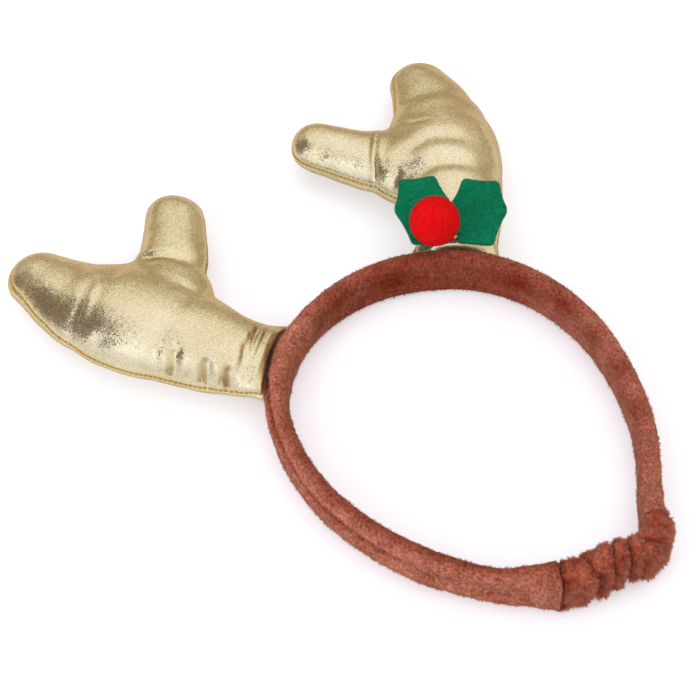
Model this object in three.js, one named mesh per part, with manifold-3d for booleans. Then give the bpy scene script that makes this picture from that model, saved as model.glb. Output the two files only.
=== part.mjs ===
// Festive antler headband, lying on a table as it does when it is taken off.
// A padded plush band and a gathered elastic sleeve make one upright loop. Two stuffed gold antlers
// are sewn into the seam along the outer face of the band, and two felt holly leaves and a felt berry
// sit on the root of the right antler.
// Millimetres. +X points to the side with the holly, +Y from the sleeve to the antlers, +Z up off the table.
import * as THREE from "three";
import { LoftGeometry } from "three/addons/geometries/LoftGeometry.js";
import { mergeVertices } from "three/addons/utils/BufferGeometryUtils.js";
import Module from "manifold-3d";

// Clearance between neighbouring pieces
const GAP = 0.3;

// Centre line of the loop, an egg seen from above, wider towards the antlers
const LOOP = { halfWidth: 67, halfLength: 82, egg: 0.15 };

// The loop is measured by its turn in degrees from the crown, between the antlers, round by the holly
// side. The relaxed elastic lets the soft loop stray outwards from the egg, most of all at one corner.
const STRAY = [
  { turn: 30, out: 0 },
  { turn: 80, out: 0.8 },
  { turn: 120, out: 0.6 },
  { turn: 144, out: 0.4 },
  { turn: 154, out: 4 },
  { turn: 161, out: 9 },
  { turn: 168, out: 7 },
  { turn: 176, out: 2.4 },
  { turn: 184, out: 0.4 },
  { turn: 200, out: 0 },
];

// Seams where the band ends and the sleeve begins
const RIGHT_SEAM = 154;
const LEFT_SEAM = 200;

// Padded band from the left seam over the crown to the right seam: its height, its thickness, how many
// degrees its top leans out, and how deep the seam is drawn into its outer face
const BAND = [
  { turn: -160, height: 23, thick: 11.4, lean: -3, seam: 0 },
  { turn: -148, height: 22, thick: 10, lean: 0, seam: 0.4 },
  { turn: -125, height: 21.8, thick: 9, lean: 3, seam: 1.2 },
  { turn: -90, height: 21.8, thick: 8.6, lean: 3, seam: 1.8 },
  { turn: -54, height: 21.8, thick: 8.8, lean: 3, seam: 2.2 },
  { turn: -36, height: 21.8, thick: 9, lean: 3, seam: 2.6 },
  { turn: -18, height: 20.8, thick: 8.6, lean: 1, seam: 1.6 },
  { turn: 0, height: 21.2, thick: 8.6, lean: 2, seam: 1.4 },
  { turn: 36, height: 22.2, thick: 9, lean: 3, seam: 2.6 },
  { turn: 60, height: 22, thick: 8.6, lean: 1, seam: 2 },
  { turn: 90, height: 21.4, thick: 8.2, lean: -1, seam: 1.4 },
  { turn: 125, height: 21, thick: 8.2, lean: 0, seam: 0.8 },
  { turn: 154, height: 20.8, thick: 9, lean: 0, seam: 0 },
];
const BAND_STATIONS = 72;
const BAND_SIDES = 24;
// Spread of the drawn-in seam, swell of the band's faces, and how far the soft foot is pressed flat
const SEAM_SPREAD = 2.4;
const SIDE_BULGE = 0.5;
const FOOT_FLAT = 0.9;

// Gathered sleeve, by fraction of its length from the left seam to the right one
const SLEEVE = [
  { along: 0, height: 22.8, thick: 11.6, lift: 0 },
  { along: 0.13, height: 25.6, thick: 15, lift: 0 },
  { along: 0.38, height: 26.4, thick: 16, lift: 0.4 },
  { along: 0.56, height: 25, thick: 15.6, lift: 1.6 },
  { along: 0.74, height: 26.4, thick: 16.2, lift: 0 },
  { along: 0.9, height: 23.4, thick: 13.4, lift: 0 },
  { along: 1, height: 20.4, thick: 8.8, lift: 0.6 },
];
// Gathers drawn across the sleeve: place along it, depth, spread, and slant from its foot to its top
const GATHERS = [
  { along: 0.29, depth: 2.2, spread: 0.035, slant: 0.1 },
  { along: 0.45, depth: 1.9, spread: 0.025, slant: 0.05 },
  { along: 0.53, depth: 1.3, spread: 0.022, slant: 0.02 },
  { along: 0.62, depth: 2.2, spread: 0.03, slant: 0 },
  { along: 0.86, depth: 1.6, spread: 0.04, slant: -0.04 },
];
const SLEEVE_STATIONS = 40;
const SLEEVE_SIDES = 20;

// Stuffed antler on the holly side, from its collar in the band's seam to its tip, in plan from the loop's
// centre: half its width between the edge seams, half its depth, and how far it stays off the table
const BEAM = [
  { x: 44.6, y: 66.4, wide: 22.4, deep: 3.8, lift: 8 },
  { x: 48.4, y: 70.4, wide: 20, deep: 5.6, lift: 6.8 },
  { x: 53, y: 75.4, wide: 17.6, deep: 10.6, lift: 2.8 },
  { x: 62, y: 87, wide: 19.8, deep: 14.2, lift: 0.4 },
  { x: 71, y: 103, wide: 23.6, deep: 15, lift: -0.4 },
  { x: 80.4, y: 119, wide: 25, deep: 15, lift: -0.4 },
  { x: 88.4, y: 133.6, wide: 23.6, deep: 14, lift: -0.4 },
  { x: 95.4, y: 148, wide: 19.4, deep: 12.2, lift: -0.2 },
  { x: 100.6, y: 164.6, wide: 14.4, deep: 10.4, lift: 0 },
];
const TINE = [
  { x: 72, y: 115, wide: 27, deep: 13, lift: 1.2 },
  { x: 63.6, y: 122.6, wide: 21, deep: 12.4, lift: 1.2 },
  { x: 55.6, y: 132.4, wide: 16.4, deep: 11, lift: 2.2 },
  { x: 47.2, y: 143.6, wide: 14.8, deep: 10.4, lift: 2.8 },
  { x: 38, y: 157, wide: 13.2, deep: 9.6, lift: 4 },
];
// Folds pressed across the stuffed limbs: place along the limb, depth and spread
const BEAM_FOLDS = [
  { along: 0.5, depth: 0.6, spread: 0.025 },
  { along: 0.76, depth: 1.1, spread: 0.03 },
  { along: 0.86, depth: 0.7, spread: 0.025 },
];
const TINE_FOLDS = [
  { along: 0.52, depth: 1.5, spread: 0.05 },
];
// Pleats gathered into the collar, fading out along the beam
const PLEATS = { count: 6, depth: 0.8, reach: 0.26 };
const BEAM_RINGS = 30;
const TINE_RINGS = 16;
const LIMB_SIDES = 24;
// The rounded tips: their length as a part of the limb's half width, and how far round the last ring lies
const TIP_RINGS = 4;
const TIP_LENGTH = 0.96;
const TIP_CLOSES = 82;
// The edge seam pulls the two panels to a blunt edge: an exponent over 1 sharpens it
const SEAM_EDGE = 1.08;

// Felt holly leaf, half of its outline from the stalk end to the far end
const LEAF_CORNERS = [
  { across: 7.2, along: 0 },
  { across: 12.2, along: 17 },
  { across: 7.6, along: 30.5 },
];
const LEAF = { thick: 1.6, hollow: 1, round: 1.8 };
// Where each leaf's stalk end lies in plan, the way that it points, and its tilt up the antler's root
const LEAVES = [
  { name: "holly_leaf_outer", x: 53.8, y: 65.2, points: 48, climb: 15 },
  { name: "holly_leaf_inner", x: 38.8, y: 77.4, points: 64, climb: 17 },
];
const BERRY = { radius: 10.4, squash: 0.96, x: 40.2, y: 76.4, detail: 4 };
// Height from which the holly is lowered onto the antler
const DROP_HEIGHT = 90;

const PLUSH = new THREE.MeshStandardMaterial({ color: 0x97523f, roughness: 1, metalness: 0 });
const GOLD = new THREE.MeshStandardMaterial({ color: 0xd8c692, roughness: 0.36, metalness: 0.85 });
const GREEN_FELT = new THREE.MeshStandardMaterial({ color: 0x0f6f49, roughness: 0.95, metalness: 0 });
const RED_FELT = new THREE.MeshStandardMaterial({ color: 0xdd1517, roughness: 0.9, metalness: 0 });

const UP = new THREE.Vector3(0, 0, 1);
const DOWN = new THREE.Vector3(0, 0, -1);
// Degrees to each side of a turn over which the loop's direction is taken
const TURN_STEP = 0.5;
const wasm = await Module();
wasm.setup();

// One column of a table, read smoothly at a place between its rows
function column(rows, key, name, at) {
  const last = rows.length - 1;
  if (at <= rows[0][key]) return rows[0][name];
  if (at >= rows[last][key]) return rows[last][name];
  const i = rows.findIndex((row) => row[key] > at) - 1;
  const slope = (k) => {
    const before = rows[Math.max(k - 1, 0)];
    const after = rows[Math.min(k + 1, last)];
    return (after[name] - before[name]) / (after[key] - before[key]);
  };
  const span = rows[i + 1][key] - rows[i][key];
  const t = (at - rows[i][key]) / span;
  const rise = rows[i + 1][name] - rows[i][name];
  const ease = t * t * (3 - 2 * t);
  const start = slope(i) * span * t * (1 - t) ** 2;
  const end = slope(i + 1) * span * t ** 2 * (t - 1);
  return rows[i][name] + rise * ease + start + end;
}

// A point of the loop's centre line
function loopPoint(turn) {
  const egg = (degrees) => {
    const a = THREE.MathUtils.degToRad(degrees);
    const x = LOOP.halfWidth * Math.sin(a) * (1 + LOOP.egg * Math.cos(a));
    return new THREE.Vector3(x, LOOP.halfLength * Math.cos(a), 0);
  };
  const along = egg(turn + TURN_STEP).sub(egg(turn - TURN_STEP)).normalize();
  const outward = new THREE.Vector3().crossVectors(UP, along);
  const stray = turn > 0 ? column(STRAY, "turn", "out", turn) : 0;
  return egg(turn).addScaledVector(outward, stray);
}

// The centre line and the outward direction at a turn
function loopFrame(turn) {
  const along = loopPoint(turn + TURN_STEP).sub(loopPoint(turn - TURN_STEP)).normalize();
  return { centre: loopPoint(turn), outward: new THREE.Vector3().crossVectors(UP, along) };
}

// Outline of a padded strip standing on its edge: x outwards, y up from its middle
function paddedOutline(thick, height, sides) {
  const radius = thick / 2;
  const straight = height / 2 - radius;
  const outline = new THREE.Path().moveTo(radius, 0).lineTo(radius, straight);
  outline.absarc(0, straight, radius, 0, Math.PI, false);
  outline.lineTo(-radius, -straight);
  outline.absarc(0, -straight, radius, Math.PI, 2 * Math.PI, false);
  outline.lineTo(radius, 0);
  return outline.getSpacedPoints(sides).slice(0, sides);
}

// Places an outline upright across the loop, flattened where it rests on the table
function acrossLoop(outline, turn, middle) {
  const { centre, outward } = loopFrame(turn);
  return outline.map((p) => {
    const point = centre.clone().addScaledVector(outward, p.x);
    point.z = Math.max(middle + p.y, 0);
    return point;
  });
}

// One section of the band, swollen by grow
function bandSection(turn, grow) {
  const read = (name) => column(BAND, "turn", name, turn);
  const height = read("height");
  const lean = Math.tan(THREE.MathUtils.degToRad(read("lean")));
  const outline = paddedOutline(read("thick"), height, BAND_SIDES).map((p) => {
    const side = Math.sign(p.x) * SIDE_BULGE * (1 - ((2 * p.y) / height) ** 2);
    const seam = p.x > 0 ? read("seam") * Math.exp(-((p.y / SEAM_SPREAD) ** 2)) : 0;
    const way = new THREE.Vector2(p.x, p.y).normalize();
    const x = p.x + side - seam + lean * p.y + grow * way.x;
    return new THREE.Vector2(x, p.y + grow * way.y);
  });
  return acrossLoop(outline, turn, height / 2 - FOOT_FLAT);
}

function bandGeometry(grow) {
  const first = LEFT_SEAM - 360;
  const sections = [];
  for (let i = 0; i <= BAND_STATIONS; i++) {
    const turn = first + ((RIGHT_SEAM - first) * i) / BAND_STATIONS;
    sections.push(bandSection(turn, grow));
  }
  return new LoftGeometry(sections, { capStart: true, capEnd: true });
}

function sleeveGeometry() {
  const seamGap = (GAP / LOOP.halfLength) * THREE.MathUtils.RAD2DEG;
  const from = LEFT_SEAM - seamGap;
  const to = RIGHT_SEAM + seamGap;
  const sections = [];
  for (let i = 0; i <= SLEEVE_STATIONS; i++) {
    const along = i / SLEEVE_STATIONS;
    const read = (name) => column(SLEEVE, "along", name, along);
    const height = read("height");
    const outline = paddedOutline(read("thick"), height, SLEEVE_SIDES).map((p) => {
      const up = (2 * p.y) / height;
      const depth = GATHERS.reduce((sum, fold) => {
        const away = (along - fold.along - (fold.slant * up) / 2) / fold.spread;
        return sum + fold.depth * Math.exp(-away * away);
      }, 0);
      return p.clone().setLength(p.length() - depth);
    });
    const middle = height / 2 + read("lift") - FOOT_FLAT;
    sections.push(acrossLoop(outline, THREE.MathUtils.lerp(from, to, along), middle));
  }
  return new LoftGeometry(sections.reverse(), { capStart: true, capEnd: true });
}

// Depth of the folds at a place along a limb
function foldDepth(folds, along) {
  return folds.reduce((sum, fold) => {
    return sum + fold.depth * Math.exp(-(((along - fold.along) / fold.spread) ** 2));
  }, 0);
}

function beamCreases(along, angle) {
  const fade = Math.max(1 - along / PLEATS.reach, 0);
  return foldDepth(BEAM_FOLDS, along) + PLEATS.depth * fade * (1 + Math.cos(PLEATS.count * angle)) / 2;
}

function tineCreases(along) {
  return foldDepth(TINE_FOLDS, along);
}

// A stuffed limb on one side, 1 or -1: rings through the rows of a table, ending in a rounded tip
function limbGeometry(rows, rings, hand, creased) {
  const spine = new THREE.CatmullRomCurve3(
    rows.map((row) => new THREE.Vector3(hand * row.x, row.y, row.deep + row.lift)),
  );
  const girth = new THREE.CatmullRomCurve3(
    rows.map((row) => new THREE.Vector3(row.wide, row.deep, 0)),
  );
  const sections = [];
  const addRing = (t, reach, shrink) => {
    const ahead = spine.getTangent(t);
    const side = new THREE.Vector3().crossVectors(ahead, UP).normalize();
    const centre = spine.getPoint(t);
    const { x: wide, y: deep } = girth.getPoint(t);
    centre.addScaledVector(ahead, reach * wide);
    const ring = [];
    for (let j = 0; j < LIMB_SIDES; j++) {
      const angle = (-2 * Math.PI * j) / LIMB_SIDES;
      const rise = Math.sign(Math.sin(angle)) * Math.abs(Math.sin(angle)) ** SEAM_EDGE;
      const pressed = creased(t, angle);
      const point = centre.clone();
      point.addScaledVector(side, shrink * (wide - pressed) * Math.cos(angle));
      point.z = Math.max(point.z + shrink * (deep - pressed) * rise, 0);
      ring.push(point);
    }
    sections.push(ring);
  };
  for (let i = 0; i <= rings; i++) addRing(i / rings, 0, 1);
  for (let i = 1; i <= TIP_RINGS; i++) {
    const angle = THREE.MathUtils.degToRad((TIP_CLOSES * i) / TIP_RINGS);
    addRing(1, TIP_LENGTH * Math.sin(angle), Math.cos(angle));
  }
  return new LoftGeometry(sections, { capStart: true, capEnd: true });
}

// Between drawn geometry and solids that can be joined and cut
function toSolid(geometry) {
  const bare = new THREE.BufferGeometry().copy(geometry);
  bare.deleteAttribute("normal");
  bare.deleteAttribute("uv");
  const merged = mergeVertices(bare);
  const vertProperties = merged.attributes.position.array;
  const triVerts = Uint32Array.from(merged.index.array);
  return new wasm.Manifold(new wasm.Mesh({ numProp: 3, vertProperties, triVerts }));
}

function toGeometry(solid) {
  const { vertProperties, triVerts } = solid.getMesh();
  const geometry = new THREE.BufferGeometry();
  geometry.setAttribute("position", new THREE.BufferAttribute(vertProperties, 3));
  geometry.setIndex(new THREE.BufferAttribute(triVerts, 1));
  geometry.computeVertexNormals();
  return geometry;
}

// Beam and tine are one stuffed bag, and the collar ends against the drawn-in seam of the band
function antlerGeometry(hand) {
  const beam = toSolid(limbGeometry(BEAM, BEAM_RINGS, hand, beamCreases));
  const tine = toSolid(limbGeometry(TINE, TINE_RINGS, hand, tineCreases));
  const pieces = beam.add(tine).subtract(toSolid(bandGeometry(GAP))).decompose();
  pieces.sort((a, b) => b.volume() - a.volume());
  return toGeometry(pieces[0]);
}

// Leaf outline with hollow sides and rounded corners, its stalk end on the x axis
function leafShape() {
  const right = LEAF_CORNERS.map((c) => new THREE.Vector2(c.across, c.along));
  const left = right.map((c) => new THREE.Vector2(-c.x, c.y)).reverse();
  const corners = [...right, ...left];
  const middle = new THREE.Vector2(0, LEAF_CORNERS.at(-1).along / 2);
  const shape = new THREE.Shape();
  corners.forEach((corner, i) => {
    const before = corners.at(i - 1);
    const after = corners[(i + 1) % corners.length];
    const enter = before.clone().sub(corner).setLength(LEAF.round).add(corner);
    const leave = after.clone().sub(corner).setLength(LEAF.round).add(corner);
    const inwards = before.clone().add(corner).divideScalar(2);
    inwards.add(middle.clone().sub(inwards).setLength(LEAF.hollow));
    if (i === 0) shape.moveTo(enter.x, enter.y);
    else shape.quadraticCurveTo(inwards.x, inwards.y, enter.x, enter.y);
    shape.quadraticCurveTo(corner.x, corner.y, leave.x, leave.y);
  });
  shape.closePath();
  return shape;
}

// Lowers a piece straight down until it rests, GAP clear, on the pieces below it
function seat(piece, below) {
  piece.updateMatrixWorld(true);
  const points = piece.geometry.attributes.position;
  let drop = Infinity;
  for (let i = 0; i < points.count; i++) {
    const from = new THREE.Vector3().fromBufferAttribute(points, i).applyMatrix4(piece.matrixWorld);
    const hit = new THREE.Raycaster(from, DOWN).intersectObjects(below)[0];
    if (hit) drop = Math.min(drop, hit.distance);
  }
  piece.position.z -= drop - GAP;
  piece.updateMatrixWorld(true);
}

const model = new THREE.Group();

function addPiece(name, geometry, material) {
  const mesh = new THREE.Mesh(geometry, material);
  mesh.name = name;
  model.add(mesh);
  return mesh;
}

const band = addPiece("band", bandGeometry(0), PLUSH);
addPiece("elastic_sleeve", sleeveGeometry(), PLUSH);

const antlerRight = addPiece("antler_right", antlerGeometry(1), GOLD);
addPiece("antler_left", antlerGeometry(-1), GOLD);
model.updateMatrixWorld(true);

const leafGeometry = new THREE.ExtrudeGeometry(leafShape(), {
  depth: LEAF.thick,
  bevelEnabled: false,
  curveSegments: 4,
});
const carriers = [band, antlerRight];
LEAVES.forEach((row) => {
  const leaf = addPiece(row.name, leafGeometry, GREEN_FELT);
  leaf.rotation.order = "ZXY";
  leaf.rotation.z = THREE.MathUtils.degToRad(row.points - 90);
  leaf.rotation.x = THREE.MathUtils.degToRad(row.climb);
  leaf.position.set(row.x, row.y, DROP_HEIGHT);
  seat(leaf, carriers);
  carriers.push(leaf);
});

const berry = addPiece("berry", new THREE.IcosahedronGeometry(BERRY.radius, BERRY.detail), RED_FELT);
berry.scale.z = BERRY.squash;
berry.position.set(BERRY.x, BERRY.y, DROP_HEIGHT);
seat(berry, carriers);

// The origin is the middle of the model's footprint, on the table
const box = new THREE.Box3().setFromObject(model);
const centre = box.getCenter(new THREE.Vector3());
model.position.set(-centre.x, -centre.y, -box.min.z);

const part = new THREE.Group();
part.add(model);

export default part;
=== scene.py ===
# %% [markdown]
# # A plush headband with stuffed gold antlers
# The headband lies on a table as it does when it is taken off: a padded plush band and a gathered elastic
# sleeve make one upright loop, two stuffed antlers of gold cloth are sewn into the band's outer seam, and two
# felt holly leaves and a felt berry sit on the root of one antler.
# The solid model comes first, as a fixed frame. Everything below is soft goods built over it, in metres.

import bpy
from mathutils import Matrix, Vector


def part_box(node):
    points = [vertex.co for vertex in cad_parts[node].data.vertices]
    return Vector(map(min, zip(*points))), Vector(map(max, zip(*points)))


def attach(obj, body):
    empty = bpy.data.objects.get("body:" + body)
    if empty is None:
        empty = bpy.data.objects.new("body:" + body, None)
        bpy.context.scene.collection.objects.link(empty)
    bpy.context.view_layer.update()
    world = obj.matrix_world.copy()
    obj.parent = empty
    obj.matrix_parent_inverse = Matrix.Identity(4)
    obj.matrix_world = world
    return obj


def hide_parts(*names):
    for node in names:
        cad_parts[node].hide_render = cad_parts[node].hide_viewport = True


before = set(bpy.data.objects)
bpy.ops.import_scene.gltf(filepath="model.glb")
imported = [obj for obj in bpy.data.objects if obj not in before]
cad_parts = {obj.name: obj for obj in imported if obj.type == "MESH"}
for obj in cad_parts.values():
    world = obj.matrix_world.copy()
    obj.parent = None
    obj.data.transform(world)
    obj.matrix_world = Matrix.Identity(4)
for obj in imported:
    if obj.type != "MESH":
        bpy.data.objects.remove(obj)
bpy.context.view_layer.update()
print("solids", sorted(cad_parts))

# %% Imports and units
import math

import bpy
import numpy as np
from mathutils import Vector
from mathutils.bvhtree import BVHTree
from mathutils.kdtree import KDTree

MM = 0.001
scene = bpy.context.scene
scene.view_settings.view_transform = "Standard"

# %% [markdown]
# ## Camera
# The photograph looks down on the loop from the front left. A camera is easiest to place by where it looks, the
# way it looks from there and how far off it stands, so those are the named values here. The lens then gives the
# picture its width, with no shift.

# %% Camera
CAMERA_AIM = Vector((-17.5, 15.3, 12)) * MM
CAMERA_AZIMUTH = math.radians(-36)
CAMERA_ELEVATION = math.radians(52)
CAMERA_DISTANCE = 700 * MM
CAMERA_LENS = 88.2


def direction(azimuth, elevation):
    """Unit vector from the object towards a place round it, azimuth 0 being the front."""
    level = math.cos(elevation)
    return Vector((math.sin(azimuth) * level, -math.cos(azimuth) * level, math.sin(elevation)))


to_camera = direction(CAMERA_AZIMUTH, CAMERA_ELEVATION)
bpy.ops.object.camera_add(
    location=CAMERA_AIM + to_camera * CAMERA_DISTANCE,
    rotation=(-to_camera).to_track_quat("-Z", "Y").to_euler(),
)
camera = bpy.context.object
camera.data.lens = CAMERA_LENS
scene.camera = camera
print("camera at", [round(v, 3) for v in camera.location])

# %% [markdown]
# ## Floor and light
# A white sweep in a studio: the floor is a plain pale plane, painted a little dimmer far off as a painted falloff
# of light, because the foil mirrors it. It also glows a little, painted light that softens the shadows on it.
# The foil on the antlers is half a mirror, so the room matters more than any lamp. A dome of light stands for the
# room: bright overhead, dim and warm near the horizon, with a cool window at the left and a dark card behind it.
# The card is what the brown shade on the left antler mirrors. One soft box at the left brings out the nap of
# the plush. The foil doesn't mirror that one, because it would leave a hard glint.

# %% Floor
FLOOR_SIZE = 8
FLOOR_DROP = 0.2 * MM
# The floor glows a little: painted light that softens the shadows on it
FLOOR_ROUGHNESS, FLOOR_GLOW = 0.9, 0.6
# Distance from the middle in metres, and the colour there: a painted falloff of light, dimmer far off
FLOOR_TONES = [(0.4, (0.615, 0.61, 0.615)), (0.95, (0.32, 0.29, 0.25))]
bpy.ops.mesh.primitive_plane_add(size=FLOOR_SIZE, location=(0, 0, -FLOOR_DROP))
floor = bpy.context.object
floor.name = "studio_floor"


def plug(tree, made, sockets):
    """Fills a node's sockets by name or number, each with a value or a link from another socket."""
    for key, value in sockets.items():
        if isinstance(value, bpy.types.NodeSocket):
            tree.links.new(value, made.inputs[key])
        else:
            made.inputs[key].default_value = value


def node(tree, kind, sockets=None, **settings):
    """A new shader node with its own settings, then its sockets filled."""
    made = tree.nodes.new(kind)
    for key, value in settings.items():
        setattr(made, key, value)
    plug(tree, made, sockets or {})
    return made


def vectors(tree, operation, sockets):
    """The result of vector maths."""
    made = node(tree, "ShaderNodeVectorMath", sockets, operation=operation)
    return made.outputs["Value" if operation in ("LENGTH", "DOT_PRODUCT") else "Vector"]


def tones(tree, source, stops):
    """A colour ramp from a list of (position, colour), fed by a value."""
    ramp = node(tree, "ShaderNodeValToRGB", {"Fac": source})
    while len(ramp.color_ramp.elements) < len(stops):
        ramp.color_ramp.elements.new(0.5)
    for element, (position, colour) in zip(ramp.color_ramp.elements, stops):
        element.position = position
        element.color = (*colour, 1)
    return ramp.outputs["Color"]


paper = bpy.data.materials.new("white_paper")
paper.use_nodes = True
paper_tree = paper.node_tree
paper_place = node(paper_tree, "ShaderNodeTexCoord").outputs["Object"]
paper_colour = tones(paper_tree, vectors(paper_tree, "LENGTH", {0: paper_place}), FLOOR_TONES)
plug(paper_tree, paper_tree.nodes["Principled BSDF"], {
    "Base Color": paper_colour,
    "Roughness": FLOOR_ROUGHNESS,
    "Emission Color": paper_colour,
    "Emission Strength": FLOOR_GLOW,
})
floor.data.materials.append(paper)
print("floor of", FLOOR_SIZE, "m")

# %% Light dome
# Height of the direction, from 0 at the horizon to 1 overhead, and the light from there
DOME_TONES = [
    (0.0, (0.30, 0.235, 0.155)),
    (0.26, (0.385, 0.34, 0.25)),
    (0.5, (0.67, 0.645, 0.575)),
    (0.7, (0.90, 0.915, 0.97)),
    (1.0, (1.0, 1.02, 1.16)),
]
DOME_STRENGTH = 1.45
# A spot on the dome: the way to it, and the angles off it in degrees where the spot ends and where it is full
WINDOW = {"way": direction(math.radians(-84), math.radians(18)), "edge": 46, "full": 16}
WINDOW_LIGHT = (0.40, 0.50, 0.85)
DARK_CARD = {"way": direction(math.radians(-130), math.radians(34)), "edge": 29, "full": 20}
DARK_CARD_TONE = (0.06, 0.026, 0.002)


def span(tree, source, start, end, **settings):
    """A value taken from one range to another."""
    sockets = dict(zip(("Value", "From Min", "From Max", "To Min", "To Max"), (source, *start, *end)))
    return node(tree, "ShaderNodeMapRange", sockets, **settings).outputs["Result"]


def patch(tree, way, spot, outside, inside):
    """A value that is one thing round a direction and another outside it, with a soft edge in degrees."""
    towards = vectors(tree, "DOT_PRODUCT", {0: way, 1: spot["way"]})
    edge = [math.cos(math.radians(spot[key])) for key in ("edge", "full")]
    return span(tree, towards, edge, (outside, inside), interpolation_type="SMOOTHSTEP")


world = bpy.data.worlds.new("light_dome")
scene.world = world
world.use_nodes = True
sky = world.node_tree
way = node(sky, "ShaderNodeTexCoord").outputs["Generated"]
height = node(sky, "ShaderNodeSeparateXYZ", {0: way}).outputs["Z"]
window = vectors(sky, "SCALE", {0: WINDOW_LIGHT, "Scale": patch(sky, way, WINDOW, 0, 1)})
lit = vectors(sky, "ADD", {0: tones(sky, height, DOME_TONES), 1: window})
shaded = vectors(sky, "SCALE", {0: lit, "Scale": patch(sky, way, DARK_CARD, 1, 0)})
glow = vectors(sky, "ADD", {0: shaded, 1: DARK_CARD_TONE})
plug(sky, sky.nodes["Background"], {"Color": glow, "Strength": DOME_STRENGTH})
print("dome of", len(DOME_TONES), "tones at strength", DOME_STRENGTH)

# %% Side light
SIDE_WAY = direction(math.radians(-95), math.radians(28))
SIDE_DISTANCE, SIDE_SIZE, SIDE_POWER = 0.8, 0.5, 2.6
bpy.ops.object.light_add(
    type="AREA",
    radius=SIDE_SIZE,
    location=SIDE_WAY * SIDE_DISTANCE,
    rotation=SIDE_WAY.to_track_quat("Z", "Y").to_euler(),
)
side_light = bpy.context.object
side_light.data.energy = SIDE_POWER
side_light.visible_glossy = False
print("side light at", [round(v, 3) for v in side_light.location])

# %% [markdown]
# ## Tools for soft goods
# All soft pieces but the berry start as a copy of their solid. The copy's loose triangles are merged, and a voxel
# remesh turns it into an even skin of small quads, which cloth needs. An antler's skin is then blown up like the
# stuffed bag that it is, with its seam held, and fine folds are pressed in afterwards by moving points.

# %% Selecting and reading
def only(piece):
    """Makes one piece the selected and active object, as a click on it does."""
    bpy.ops.object.select_all(action="DESELECT")
    piece.select_set(True)
    bpy.context.view_layer.objects.active = piece


def read_points(piece):
    """The places of a mesh's points, one row each."""
    points = np.empty(len(piece.data.vertices) * 3)
    piece.data.vertices.foreach_get("co", points)
    return points.reshape(-1, 3)


def write_points(piece, points):
    """Moves a mesh's points."""
    piece.data.vertices.foreach_set("co", points.ravel())
    piece.data.update()


def lay(piece, points):
    """Moves a mesh's points, none of them below the table."""
    points[:, 2] = np.maximum(points[:, 2], 0)
    write_points(piece, points)


def read_normals(piece):
    """Which way the surface faces at each point."""
    normals = np.empty(len(piece.data.vertices) * 3)
    piece.data.vertex_normals.foreach_get("vector", normals)
    return normals.reshape(-1, 3)


# %% Copy a solid as an even skin
MERGE_REACH = 0.01 * MM


def soft_copy(solid, name, voxel):
    """A merged and remeshed copy of a CAD solid, at its place."""
    piece = bpy.data.objects.new(name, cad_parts[solid].data.copy())
    scene.collection.objects.link(piece)
    piece.data.materials.clear()
    only(piece)
    bpy.ops.object.mode_set(mode="EDIT")
    bpy.ops.mesh.select_all(action="SELECT")
    bpy.ops.mesh.remove_doubles(threshold=MERGE_REACH)
    bpy.ops.object.mode_set(mode="OBJECT")
    piece.data.remesh_voxel_size = voxel
    bpy.ops.object.voxel_remesh()
    bpy.ops.object.shade_smooth()
    return piece


def subdivide(piece):
    """One round of subdivision surface, applied."""
    only(piece)
    bpy.ops.object.modifier_add(type="SUBSURF")
    finer = piece.modifiers[-1]
    finer.levels = finer.render_levels = 1
    bpy.ops.object.modifier_apply(modifier=finer.name)


# %% Blow a bag up
CLOTH_FRAMES = 20


def inflate(piece, held, pressure, spare, cap):
    """Cloth with air inside. The held points stay, spare is how much larger the cloth is than the bag, and
    no point moves further than cap."""
    start = read_points(piece)
    sewn = piece.vertex_groups.new(name="sewn")
    sewn.add([int(i) for i in held], 1.0, "REPLACE")
    only(piece)
    bpy.ops.object.modifier_add(type="CLOTH")
    cloth = piece.modifiers[-1]
    cloth.settings.vertex_group_mass = sewn.name
    cloth.settings.use_pressure = True
    cloth.settings.uniform_pressure_force = pressure
    cloth.settings.effector_weights.gravity = 0
    cloth.settings.shrink_min = -spare
    for step in range(1, CLOTH_FRAMES + 1):
        scene.frame_set(step)
    bpy.ops.object.modifier_apply(modifier=cloth.name)
    scene.frame_set(1)
    moved = read_points(piece) - start
    far = np.linalg.norm(moved, axis=1)
    lay(piece, start + moved * np.minimum(1, cap / np.maximum(far, 1e-9))[:, None])
    print(piece.name, "moved by up to", round(far.max() / MM, 2), "mm before the cap")


# %% Press folds
# How deep a fold still is at its ends, then how high its ridges are, where they stand and how wide they are
FOLD_END_DEPTH = 0.15
FOLD_RIDGES, RIDGE_AT, RIDGE_WIDE = 0.45, 2, 1.1
# How fast a fold on one panel dies away past the edge of the bag, and how much of it is left at the edge
EDGE_FADE, EDGE_LEFT = 4, 0.6


def bell(apart, reach, at=0):
    """1 at a distance, fading softly to 0 on both sides of it."""
    return np.exp(-(((apart - at) / reach) ** 2))


def along_path(points, path):
    """For each point seen from above: its distance from a path, and how far along it from 0 to 1."""
    path = np.asarray(path, float)
    lengths = np.linalg.norm(np.diff(path, axis=0), axis=1)
    reached = np.concatenate([[0], np.cumsum(lengths)])
    nearest = np.full(len(points), np.inf)
    along = np.zeros(len(points))
    for i, length in enumerate(lengths):
        step = (path[i + 1] - path[i]) / length
        t = np.clip((points[:, :2] - path[i]) @ step, 0, length)
        apart = np.linalg.norm(points[:, :2] - path[i] - t[:, None] * step, axis=1)
        closer = apart < nearest
        nearest[closer] = apart[closer]
        along[closer] = (reached[i] + t[closer]) / reached[-1]
    return nearest, along


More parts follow.
